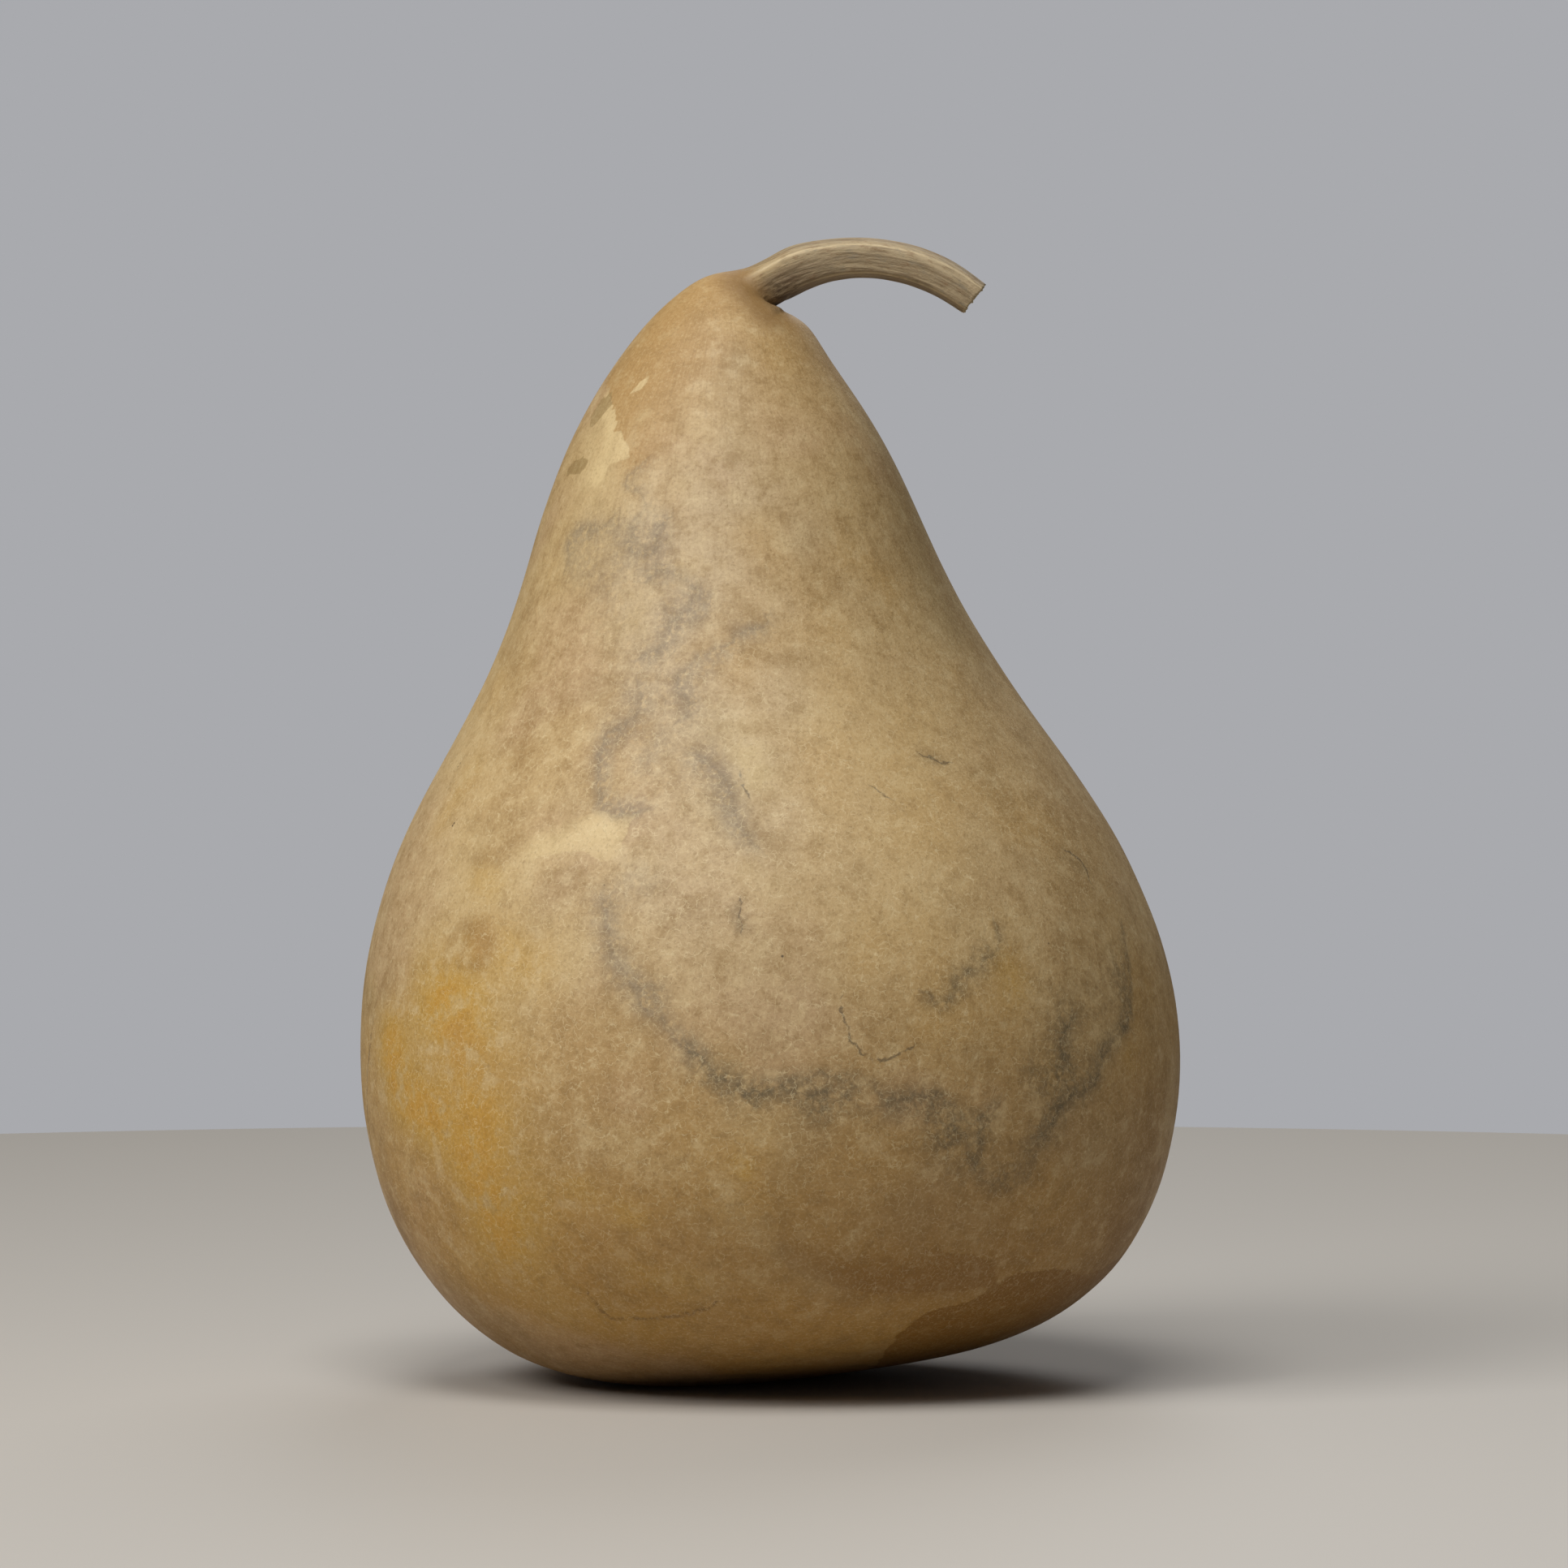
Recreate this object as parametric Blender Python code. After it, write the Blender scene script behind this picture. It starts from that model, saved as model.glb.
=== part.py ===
"""A dried bottle gourd: a pear-shaped, hard-shelled gourd standing on its base, its dried stem arched to one side.

The gourd and its stem grew as one piece, so they are one closed body. It is a loft of rings that starts at the
flat spot it rests on, follows the pear shape up to the shoulder, leans over round the root of the stem and runs
along the arched stem to its cut end. Each ring is an oval across the gourd: its left and right points lie on the
outline seen from the front, and its depth runs from front to back.

The frame has +X to the right of the front view, +Y away from the viewer and +Z up. The origin is on the surface
the gourd stands on, in the middle of its bounding box.
"""

import math

import bpy
import numpy as np

# Lengths are in millimetres up to the mesh, which is in metres.
METRES = 0.001

# The pear shape, from the flat resting spot up to the neck: height, left flank, right flank, depth and slant.
# Its axis leans a little to the left, so the base rises on the right before the flank turns up. The gourd rests on
# an oval that runs from front left to back right: the slant is how far its left end stands towards the viewer.
PEAR = (
    (0.0, -31.0, 14.0, 32.0, 13.0),
    (1.0, -40.5, 20.5, 45.0, 13.0),
    (3.5, -52.5, 33.0, 70.0, 10.0),
    (8.5, -65.0, 54.0, 107.0, 5.0),
    (18.0, -77.6, 74.3, 145.0, 1.0),
    (33.0, -89.0, 88.4, 172.0, 0.0),
    (54.0, -96.7, 97.1, 190.0, 0.0),
    (79.0, -100.0, 100.0, 195.0, 0.0),
    (104.0, -98.0, 96.0, 189.0, 0.0),
    (129.0, -90.6, 86.0, 172.0, 0.0),
    (154.0, -77.6, 69.7, 143.0, 0.0),
    (178.0, -65.6, 52.9, 116.0, 0.0),
    (202.0, -57.9, 40.0, 96.0, 0.0),
    (222.0, -51.2, 30.8, 80.0, 0.0),
)
# The shoulder and the stem's root, where the rings lean over to the right: left x and z, right x and z, depth
# and slant.
SHOULDER = (
    (-43.6, 237.5, 22.0, 237.0, 63.0, 0.0),
    (-35.6, 249.3, 14.2, 248.5, 48.0, 0.0),
    (-27.6, 258.6, 9.5, 255.4, 36.0, 0.0),
    (-20.1, 265.1, 6.3, 257.8, 26.0, 0.0),
    (-13.6, 268.3, 3.4, 259.0, 17.5, 0.0),
)
# How far the neck stands behind the belly, and the height by which it has got there.
NECK_SETBACK = 3.0
NECK_HEIGHT = 200.0

# The stem is one arc in the front view, from its root on the shoulder, over the top and down to the cut.
STEM_BEND_CENTRE = (21.6, 228.1)
STEM_BEND_RADIUS = 43.6
STEM_ROOT_ANGLE = 124.0
STEM_CUT_ANGLE = 50.5
# Its width, at even steps from the root to the cut.
STEM_WIDTHS = (12.4, 11.4, 10.2, 9.6, 9.5, 9.4, 8.8)
# How far the cut end has swung towards the viewer, and how far the cut face is dished.
STEM_SWING = 3.0
CUT_DISH = 0.7
# Five ridges run along the stem. The angle is the first ridge's, from the top towards the viewer. The depth is a
# share of the stem's half width, half of it above the plain oval and half below, and it starts low at the root.
RIDGES = 5
FIRST_RIDGE = -14.4
RIDGE_DEPTH = 0.13
RIDGE_MIDDLE = 0.5
RIDGE_SHARE_AT_ROOT = 0.5

# Soft fullnesses and flats that keep a grown shape from being a perfect oval, as shares of the radius.
# Each is a sine of whole turns, so the two flanks of the outline stay where the tables put them.
UNEVENNESS = ((2, 0.012, 70.0), (3, 0.008, 115.0))

# Points round a ring, a whole number between ridges, and the pitch of the rings, closer where the gourd is slim.
RING_POINTS = 50
LEAST_PITCH = 1.6
PITCH_PER_HALF_WIDTH = 0.1

RIND_COLOUR = (0.45, 0.32, 0.15)
RIND_ROUGHNESS = 0.5


def clear_scene():
    for thing in list(bpy.data.objects):
        bpy.data.objects.remove(thing)


def body_stations():
    """Rows of left x, left z, right x, right z, half depth, setback, ridge share and slant, from base to shoulder."""
    rows = [(left, height, right, height, depth, slant) for height, left, right, depth, slant in PEAR]
    stations = []
    for left_x, left_z, right_x, right_z, depth, slant in (*rows, *SHOULDER):
        rise = min((left_z + right_z) / 2 / NECK_HEIGHT, 1.0)
        setback = NECK_SETBACK * rise * rise
        stations.append((left_x, left_z, right_x, right_z, depth / 2, setback, 0.0, slant))
    return stations


def stem_stations():
    """The same rows along the stem, whose left point is on the outside of the bend."""
    stations = []
    for step, width in enumerate(STEM_WIDTHS):
        share = step / (len(STEM_WIDTHS) - 1)
        angle = math.radians(STEM_ROOT_ANGLE + (STEM_CUT_ANGLE - STEM_ROOT_ANGLE) * share)
        stations.append(
            (
                STEM_BEND_CENTRE[0] + (STEM_BEND_RADIUS + width / 2) * math.cos(angle),
                STEM_BEND_CENTRE[1] + (STEM_BEND_RADIUS + width / 2) * math.sin(angle),
                STEM_BEND_CENTRE[0] + (STEM_BEND_RADIUS - width / 2) * math.cos(angle),
                STEM_BEND_CENTRE[1] + (STEM_BEND_RADIUS - width / 2) * math.sin(angle),
                width / 2,
                NECK_SETBACK - STEM_SWING * share,
                1.0 if step else RIDGE_SHARE_AT_ROOT,
                0.0,
            )
        )
    return stations


def spline_second_derivatives(knots, values):
    """A natural cubic spline's second derivatives at its knots."""
    spans = np.diff(knots)
    slopes = np.diff(values, axis=0) / spans[:, None]
    count = len(knots)
    system = np.eye(count)
    right_side = np.zeros_like(values)
    for i in range(1, count - 1):
        system[i, i - 1] = spans[i - 1]
        system[i, i] = 2 * (spans[i - 1] + spans[i])
        system[i, i + 1] = spans[i]
        right_side[i] = 6 * (slopes[i] - slopes[i - 1])
    return np.linalg.solve(system, right_side)


def lofted_rows(stations):
    """Rows on a smooth curve through the stations, at a pitch that follows the gourd's width."""
    values = np.array(stations)
    steps = np.diff(values[:, :4], axis=0)
    lengths = (np.hypot(steps[:, 0], steps[:, 1]) + np.hypot(steps[:, 2], steps[:, 3])) / 2
    knots = np.concatenate([[0.0], np.cumsum(lengths)])
    bends = spline_second_derivatives(knots, values)
    half_widths = np.hypot(values[:, 2] - values[:, 0], values[:, 3] - values[:, 1]) / 2
    rows = []
    for i, length in enumerate(lengths):
        pitch = LEAST_PITCH + PITCH_PER_HALF_WIDTH * (half_widths[i] + half_widths[i + 1]) / 2
        count = max(1, round(length / pitch))
        for step in range(count):
            b = step / count
            a = 1 - b
            curve = (a**3 - a) * bends[i] + (b**3 - b) * bends[i + 1]
            rows.append(a * values[i] + b * values[i + 1] + curve * length**2 / 6)
    rows.append(values[-1])
    return rows


def ridge_height(angle):
    """1 on a ridge's crest, 0 in the middle of the groove beside it."""
    turn = math.radians(angle - FIRST_RIDGE) * RIDGES / 2
    return 1 - abs(math.sin(turn))


def ring(row):
    """The points of one ring. Angle 0 is its left or top point, and a quarter turn on is its front."""
    left_x, left_z, right_x, right_z, half_depth, setback, ridged, slant = row
    centre = np.array([(left_x + right_x) / 2, setback, (left_z + right_z) / 2])
    across = np.array([(left_x - right_x) / 2, -slant, (left_z - right_z) / 2])
    forward = np.array([0.0, -half_depth, 0.0])
    evenness = 1 - ridged
    points = []
    for i in range(RING_POINTS):
        angle = 360 * i / RING_POINTS
        reach = 1 + RIDGE_DEPTH * ridged * (ridge_height(angle) - RIDGE_MIDDLE)
        for turns, share, wave_height in UNEVENNESS:
            swell = math.sin(math.radians(turns * angle)) * math.sin(centre[2] / wave_height * math.pi)
            reach += share * swell * evenness
        turn = math.radians(angle)
        points.append(centre + (across * math.cos(turn) + forward * math.sin(turn)) * reach)
    return points


def gourd_mesh():
    """One closed skin: quads between neighbouring rings, and a fan of triangles at the base and on the cut."""
    rows = lofted_rows(body_stations() + stem_stations())
    rings = [ring(row) for row in rows]
    points = [point for each in rings for point in each]
    faces = []
    for level in range(len(rings) - 1):
        start = level * RING_POINTS
        for i in range(RING_POINTS):
            j = (i + 1) % RING_POINTS
            faces.append((start + i, start + j, start + RING_POINTS + j, start + RING_POINTS + i))

    base_centre = len(points)
    points.append(np.mean(rings[0], axis=0))
    cut_centre = len(points)
    along_stem = np.mean(rings[-1], axis=0) - np.mean(rings[-2], axis=0)
    along_stem /= np.linalg.norm(along_stem)
    points.append(np.mean(rings[-1], axis=0) - CUT_DISH * along_stem)
    top = (len(rings) - 1) * RING_POINTS
    for i in range(RING_POINTS):
        j = (i + 1) % RING_POINTS
        faces.append((base_centre, j, i))
        faces.append((cut_centre, top + i, top + j))

    skin = np.array(points)
    middle = (skin.min(axis=0) + skin.max(axis=0)) / 2
    skin -= (middle[0], middle[1], skin[:, 2].min())
    mesh = bpy.data.meshes.new("dried_gourd")
    mesh.from_pydata((skin * METRES).tolist(), [], faces)
    mesh.validate()
    mesh.shade_smooth()
    return mesh


def rind_material():
    """Dried rind: ochre, dull, without metal."""
    material = bpy.data.materials.new("dried_rind")
    material.use_nodes = True
    shader = material.node_tree.nodes["Principled BSDF"]
    shader.inputs["Base Color"].default_value = (*RIND_COLOUR, 1.0)
    shader.inputs["Roughness"].default_value = RIND_ROUGHNESS
    shader.inputs["Metallic"].default_value = 0.0
    return material


def main():
    clear_scene()
    gourd = bpy.data.objects.new("dried_gourd", gourd_mesh())
    gourd.data.materials.append(rind_material())
    bpy.context.scene.collection.objects.link(gourd)


main()
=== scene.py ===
"""The looks of a dried bottle gourd: its weathered rind, its corky stem and the stains that drying left."""

import math

import bmesh
import bpy
import numpy as np
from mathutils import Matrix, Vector, bvhtree, noise


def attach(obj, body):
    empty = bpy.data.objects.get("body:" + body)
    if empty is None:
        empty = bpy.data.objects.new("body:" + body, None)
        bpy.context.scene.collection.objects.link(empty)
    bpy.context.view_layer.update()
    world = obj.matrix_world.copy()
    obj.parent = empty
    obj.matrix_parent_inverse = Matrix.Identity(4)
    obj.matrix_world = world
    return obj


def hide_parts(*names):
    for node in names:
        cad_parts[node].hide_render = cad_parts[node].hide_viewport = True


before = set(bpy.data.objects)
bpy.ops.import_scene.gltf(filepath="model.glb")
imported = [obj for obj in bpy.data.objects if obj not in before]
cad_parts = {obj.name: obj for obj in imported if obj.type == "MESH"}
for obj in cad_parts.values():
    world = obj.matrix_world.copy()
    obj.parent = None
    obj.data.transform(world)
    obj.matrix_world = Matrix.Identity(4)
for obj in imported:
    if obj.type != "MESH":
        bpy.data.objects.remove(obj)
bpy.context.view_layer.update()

# Blender works in metres. Every length below is in millimetres unless its name says otherwise.
MM = 0.001

# The camera stands where the photograph's stood. Its picture is square, this many pixels a side.
PICTURE_SIDE = 1932
LENS = 180.0
SENSOR = 36.0
CAMERA_AT = (3.3, -1900.2, 202.7)
CAMERA_AIM = (3.3, 0.0, 144.3)

# The stem's bend in the front view, as on the solid: one arc from the root on the shoulder to the cut.
STEM_BEND_CENTRE = (21.6, 228.1)
STEM_BEND_RADIUS = 43.6
STEM_ROOT_ANGLE = 124.0
STEM_CUT_ANGLE = 50.5
STEM_LENGTH = math.radians(STEM_ROOT_ANGLE - STEM_CUT_ANGLE) * STEM_BEND_RADIUS
STEM_SETBACK = 3.0
STEM_SWING = 3.0
RIDGES = 5
FIRST_RIDGE = -14.4
# Rind turns to cork from this many degrees before the stem's root to this many after it, and only near the
# stem's middle line: none is cork at the first of these distances from it, and all is at the second.
CORK_BEFORE_ROOT = 3.0
CORK_AFTER_ROOT = 5.0
CORK_NONE = 8.0
CORK_FULL = 6.6
# Which way the cut faces, and the cosines between that way and the skin's where the cut starts and is full.
OUT_OF_CUT = np.array([math.sin(math.radians(STEM_CUT_ANGLE)), 0.0, -math.cos(math.radians(STEM_CUT_ANGLE))])
CUT_FACING = (0.5, 0.8)
# The cut is within this distance of the stem's end, and what stands up to this many degrees past that end is
# still the stem's.
CUT_DEPTH = 3.0
CUT_DEGREES = 5.0
# Where the stem's share is above this, the skin is the stem's.
MOSTLY_STEM = 0.5
# The darker ring round the stem's root: its radius, half the width of the stem that it surrounds, and how
# far it reaches before the root.
ROOT_STAIN_RADIUS = 7.0
ROOT_HALF_WIDTH = 5.0
ROOT_STAIN_REACH = 15.0

# The gourd's axis leans: heights, and where the axis stands at each of them from left to right.
AXIS_HEIGHTS = (0.0, 18.0, 54.0, 130.0, 237.0)
AXIS_PLACES = (-12.0, -2.0, 0.0, -2.4, -10.8)
# Streaks run from the stem to the base, and keep the spacing they have at this distance from the axis.
STREAK_RADIUS = 60.0
# The middle of the belly, round which the skin is unrolled from the base upwards.
BELLY_MIDDLE = (0.0, 0.0, 80.0)

# The scar that the blossom left, on the underside where the base rises to the right: a dish with a nub in it.
SCAR_PLACE = (27.0, 3.0)
SCAR_RADIUS = 5.5
SCAR_FLOOR_RADIUS = SCAR_RADIUS * 0.45
SCAR_DEPTH = 0.9
SCAR_NUB_RADIUS = 1.6
SCAR_NUB_HEIGHT = SCAR_DEPTH * 0.7
SCAR_STAIN_RADIUS = SCAR_RADIUS * 1.5
SCAR_DARK_RADIUS = SCAR_RADIUS * 0.6
# The underside is the skin whose outward direction climbs by less than this.
UNDERSIDE_CLIMB = -0.5

# Marks are placed by pixels of the photograph, column and row. Where the first number isn't 0, the mark is
# on a side the photograph doesn't show, and its pixels are seen from that many degrees round the gourd.
# Each smear is: turn, radius in mm, strength, and the pixels that it follows.
SMEARS = {
    # yellow ochre, where the outer skin is thinnest
    "golden": (
        (0, 10, 0.95, ((480, 1290), (492, 1345), (530, 1375))),
        (0, 9, 0.7, ((540, 1240), (575, 1275), (590, 1370))),
        (0, 10, 0.9, ((580, 1430), (605, 1485), (615, 1520))),
        (0, 16, 0.45, ((530, 1220), (600, 1330), (640, 1480))),
        (0, 5, 0.5, ((550, 1215), (580, 1222))),
        (0, 9, 0.5, ((625, 1175), (655, 1190))),
        (0, 5, 0.5, ((590, 1080), (605, 1090))),
        (0, 4, 0.75, ((548, 1262), (556, 1285))),
        (0, 4, 0.7, ((586, 1152), (592, 1168))),
        (0, 5, 0.45, ((715, 1465), (730, 1480))),
        (0, 4, 0.75, ((772, 1500), (780, 1504))),
        (0, 3, 0.6, ((912, 1436), (916, 1442))),
        (0, 6, 0.35, ((580, 950), (545, 1010))),
        (0, 4, 0.5, ((1393, 1300), (1398, 1312))),
        (0, 6, 0.4, ((1240, 1190), (1250, 1215))),
        (0, 14, 0.4, ((600, 1580), (700, 1620), (800, 1640))),
        (0, 6, 0.35, ((790, 1570), (850, 1580))),
        (95, 14, 0.7, ((1000, 1380), (1090, 1420), (1150, 1500))),
        (175, 12, 0.6, ((1150, 1250), (1080, 1400), (960, 1480))),
        (180, 9, 0.5, ((760, 900), (720, 1010))),
        (265, 12, 0.7, ((700, 1300), (780, 1420))),
    ),
    # orange, where the shoulder dried in the sun
    "orange": (
        (0, 11, 0.9, ((900, 340), (840, 370), (800, 420), (772, 470))),
        (0, 9, 0.6, ((860, 430), (810, 480), (800, 545))),
        (0, 4, 0.6, ((754, 460), (757, 507), (766, 536), (778, 570))),
        (0, 7, 0.5, ((930, 350), (965, 390))),
        (0, 5, 0.35, ((570, 965), (600, 985))),
        (0, 8, 0.45, ((560, 1290), (620, 1330))),
        (0, 9, 0.35, ((690, 1240), (760, 1330))),
        (0, 5, 0.9, ((590, 1150), (594, 1166))),
        (0, 9, 0.45, ((740, 1500), (800, 1530), (900, 1540))),
        (0, 12, 0.5, ((1040, 1490), (1120, 1505), (1190, 1490))),
        (0, 8, 0.3, ((480, 1480), (560, 1600), (650, 1680))),
        (0, 8, 0.4, ((1400, 1300), (1390, 1390))),
        (100, 12, 0.7, ((1000, 360), (1060, 430))),
        (190, 14, 0.5, ((860, 380), (800, 470))),
    ),
    # brown, where damp stood in the rind, and painted shade at the neck's right edge and the base's rim
    "brown_stain_and_painted_shade": (
        (0, 6, 0.5, ((652, 900), (640, 940), (625, 975))),
        (0, 5, 0.4, ((600, 1015), (640, 1030))),
        (0, 3.5, 0.45, ((590, 1060), (625, 1052))),
        (0, 3, 0.55, ((590, 1142), (604, 1160), (598, 1184), (582, 1192), (566, 1180), (568, 1154),
                      (590, 1142))),
        (0, 1.6, 0.5, ((548, 1195), (549, 1165), (562, 1140), (585, 1130))),
        (0, 6, 0.3, ((700, 1090), (715, 1130))),
        (0, 5, 0.45, ((755, 895), (772, 900))),
        (0, 8, 0.5, ((965, 1556), (1026, 1580), (1091, 1588), (1168, 1584), (1222, 1572))),
        (0, 14, 0.35, ((1200, 1530), (1290, 1545), (1370, 1490))),
        # painted shade, these five: the neck's right edge and the rim of the base near the table made darker
        (0, 7, 0.5, ((1102, 590), (1146, 680), (1206, 800))),
        (0, 11, 0.6, ((1420, 1370), (1405, 1460), (1368, 1520))),
        (0, 9, 0.9, ((1400, 1500), (1340, 1575), (1270, 1625))),
        (0, 9, 0.85, ((490, 1500), (535, 1590), (600, 1655))),
        (0, 16, 0.35, ((640, 1660), (760, 1690), (900, 1700))),
        (90, 20, 0.5, ((1000, 1500), (1060, 1560))),
        (170, 6, 0.5, ((1100, 900), (1120, 960))),
        (185, 24, 0.5, ((760, 1560), (860, 1600))),
        (255, 7, 0.5, ((800, 1100), (830, 1190))),
        (270, 22, 0.5, ((780, 1560), (880, 1590))),
    ),
    # bleached, where the outer skin has gone chalky, partly painted sheen down the middle of neck and belly
    "chalky_and_painted_sheen": (
        (0, 24, 0.7, ((860, 640), (850, 740), (840, 840))),
        (0, 22, 0.45, ((960, 680), (980, 820), (960, 1010))),
        (0, 20, 0.5, ((820, 1080), (880, 1190), (960, 1230))),
        (0, 16, 0.3, ((1180, 1000), (1260, 1060))),
        (180, 40, 0.6, ((900, 700), (960, 900), (940, 1050))),
    ),
    # a thin grey haze, where mould grew on the neck and the upper belly
    "haze": (
        (0, 3, 0.6, ((700, 672), (712, 655), (728, 650))),
        (0, 3.5, 0.7, ((765, 655), (776, 668), (772, 680))),
        (0, 3, 0.8, ((812, 650), (814, 668), (806, 682), (795, 684))),
        (0, 2.5, 0.7, ((806, 709), (822, 712))),
        (0, 3.5, 0.8, ((853, 732), (866, 738), (862, 750))),
        (0, 4, 0.8, ((826, 752), (842, 760), (830, 770))),
        (0, 2.5, 0.7, ((820, 778), (816, 795), (798, 806))),
        (0, 3.5, 0.6, ((912, 775), (930, 776))),
        (0, 4, 0.5, ((885, 808), (870, 825))),
        (0, 2.5, 0.6, ((775, 852), (784, 870))),
        (0, 3, 0.6, ((838, 835), (842, 870))),
        (0, 4.5, 0.7, ((748, 905), (765, 900))),
        (0, 3, 0.7, ((740, 925), (740, 960), (742, 992))),
        (0, 3.5, 0.7, ((765, 997), (782, 1000))),
        (0, 2.5, 0.6, ((790, 944), (800, 930))),
        (0, 2.5, 0.5, ((812, 908), (814, 914))),
        (0, 3.5, 0.7, ((870, 935), (888, 950), (896, 968))),
        (0, 3.5, 0.7, ((896, 985), (902, 995))),
        (0, 5, 0.5, ((912, 1015), (920, 1030))),
        (0, 6, 0.5, ((780, 1082), (796, 1090))),
        (0, 12, 0.35, ((760, 760), (820, 860), (850, 960))),
        (0, 6, 0.5, ((712, 702), (745, 715))),
        (0, 4.5, 0.7, ((740, 1110), (748, 1160), (764, 1200), (788, 1222), (800, 1226))),
        (0, 4.5, 0.5, ((800, 1240), (830, 1275), (856, 1300))),
        (0, 9, 0.4, ((730, 660), (800, 670))),
        (200, 5, 0.6, ((940, 640), (990, 700))),
        (280, 5, 0.6, ((760, 950), (790, 1060))),
    ),
    # dark mould, along the edge of the damp
    "mould": (
        (0, 4, 0.4, ((772, 1210), (795, 1225), (812, 1220))),
        (0, 4.5, 0.8, ((856, 1305), (880, 1325), (900, 1340))),
        (0, 3.5, 0.85, ((915, 1348), (935, 1355), (955, 1345))),
        (0, 3, 0.7, ((965, 1342), (990, 1338), (1020, 1340))),
        (0, 4.5, 0.8, ((1000, 1352), (1020, 1355), (1040, 1352))),
        (0, 3.5, 0.5, ((995, 1370), (1015, 1378))),
        (0, 5, 0.35, ((1060, 1358), (1080, 1372))),
        (0, 4, 0.75, ((1104, 1362), (1125, 1358), (1150, 1358))),
        (0, 4, 0.7, ((1155, 1368), (1170, 1380), (1172, 1395))),
        (0, 4, 0.45, ((1148, 1405), (1160, 1425), (1174, 1449))),
        (0, 3.5, 0.5, ((1185, 1380), (1200, 1392))),
        (0, 3, 0.5, ((1229, 1367), (1218, 1382))),
        (0, 4, 0.7, ((1213, 1390), (1211, 1410), (1207, 1430))),
        (0, 4, 0.6, ((1226, 1458), (1247, 1453), (1262, 1450))),
        (0, 4, 0.7, ((1294, 1400), (1277, 1413))),
        (0, 4, 0.65, ((1308, 1368), (1294, 1385))),
        (0, 3.5, 0.5, ((1270, 1305), (1274, 1325))),
        (0, 3.5, 0.5, ((1282, 1335), (1285, 1345))),
        (0, 4.5, 0.8, ((1316, 1262), (1308, 1285), (1311, 1305))),
        (0, 5, 0.9, ((1308, 1320), (1316, 1335))),
        (0, 7, 0.35, ((1300, 1240), (1340, 1235), (1365, 1225))),
        (0, 11, 0.2, ((1220, 1420), (1290, 1350), (1350, 1270))),
        (0, 8, 0.2, ((1150, 1390), (1190, 1430), (1250, 1460))),
        (0, 3.5, 0.6, ((1347, 1340), (1325, 1350))),
        (0, 4, 0.7, ((1358, 1300), (1352, 1322))),
        (0, 3.5, 0.7, ((1392, 1255), (1372, 1285))),
        (0, 4, 0.6, ((1386, 1215), (1392, 1235))),
        (0, 4, 0.55, ((1374, 1182), (1380, 1198))),
        (0, 3, 0.5, ((1386, 1150), (1391, 1175))),
        (0, 2.5, 0.5, ((1226, 1160), (1218, 1176))),
        (0, 2.5, 0.35, ((1203, 1152), (1214, 1160))),
        (0, 3, 0.55, ((1203, 1178), (1209, 1190), (1195, 1196))),
        (0, 3, 0.5, ((1178, 1195), (1180, 1208))),
        (0, 3.5, 0.45, ((1150, 1231), (1162, 1232))),
        (0, 3, 0.35, ((1172, 1228), (1186, 1222))),
        (0, 3, 0.6, ((908, 1120), (914, 1140))),
        (0, 3, 0.5, ((1315, 1058), (1338, 1070))),
        (0, 2.5, 0.5, ((1140, 932), (1160, 938))),
        (85, 6, 0.6, ((1000, 1180), (1050, 1290), (1120, 1330))),
        (120, 5, 0.6, ((1000, 800), (1040, 860))),
        (165, 6, 0.7, ((700, 1150), (760, 1260), (880, 1330), (1010, 1350))),
        (240, 6, 0.6, ((780, 1240), (830, 1300), (900, 1290))),
    ),
    # olive, where the rind is thinner, and painted shade at the neck's right edge and the lower rims
    "olive_and_painted_shade": (
        # painted shade down the right edge of the neck
        (0, 16, 0.9, ((1090, 520), (1130, 640), (1180, 760))),
        (0, 8, 0.5, ((880, 900), (900, 1010))),
        (0, 7, 0.4, ((900, 440), (905, 560))),
        # painted shade, these two: the lower rims next to the table
        (0, 14, 0.3, ((1360, 1430), (1330, 1530))),
        (0, 12, 0.5, ((560, 1590), (640, 1650))),
        (180, 14, 0.7, ((800, 560), (760, 700))),
    ),
    # painted light: light straw where more light falls on the belly
    "light": (
        (0, 20, 0.45, ((600, 830), (570, 1000), (610, 1210))),
        (0, 26, 0.5, ((1060, 900), (1120, 1060))),
        (150, 30, 0.5, ((900, 900), (980, 1100), (900, 1250))),
        (270, 24, 0.5, ((860, 900), (900, 1100))),
    ),
    # cream, where the outer skin has flaked away and left an edge
    "flaked": (
        (0, 5, 1.0, ((754, 490), (766, 535), (776, 566))),
        (0, 6, 0.8, ((755, 565), (742, 582))),
        (0, 4, 0.9, ((788, 468), (776, 484))),
        (0, 5, 0.75, ((748, 1010), (774, 1010))),
        (0, 6, 0.6, ((760, 1030), (745, 1047))),
        (0, 5, 0.65, ((720, 1028), (700, 1034), (664, 1046))),
        (185, 9, 0.8, ((960, 1020), (1040, 1050))),
    ),
    # pale straw, where it is wearing thin
    "pale": (
        (0, 7, 0.6, ((734, 525), (724, 570))),
        (0, 1.6, 0.5, ((787, 516), (797, 508))),
        (0, 9, 0.5, ((740, 590), (722, 640), (712, 680))),
        (0, 7, 0.4, ((765, 645), (780, 770))),
        (0, 6, 0.3, ((718, 1020), (700, 1040))),
        (0, 6, 0.25, ((650, 1065), (690, 1045))),
        (0, 4, 0.9, ((922, 935), (925, 955))),
        (0, 8, 0.4, ((905, 890), (945, 960))),
        (0, 5, 0.5, ((925, 1075), (945, 1100))),
        (0, 12, 0.35, ((690, 1170), (720, 1190))),
        (0, 14, 0.25, ((540, 1080), (600, 1100))),
        (0, 8, 0.35, ((905, 1385), (960, 1400))),
        (0, 6, 0.35, ((900, 1490), (1020, 1590))),
        (110, 9, 0.5, ((1020, 560), (1050, 640))),
        (180, 12, 0.5, ((900, 1030), (1000, 1060))),
        (260, 10, 0.5, ((800, 700), (780, 820))),
    ),
}
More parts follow.
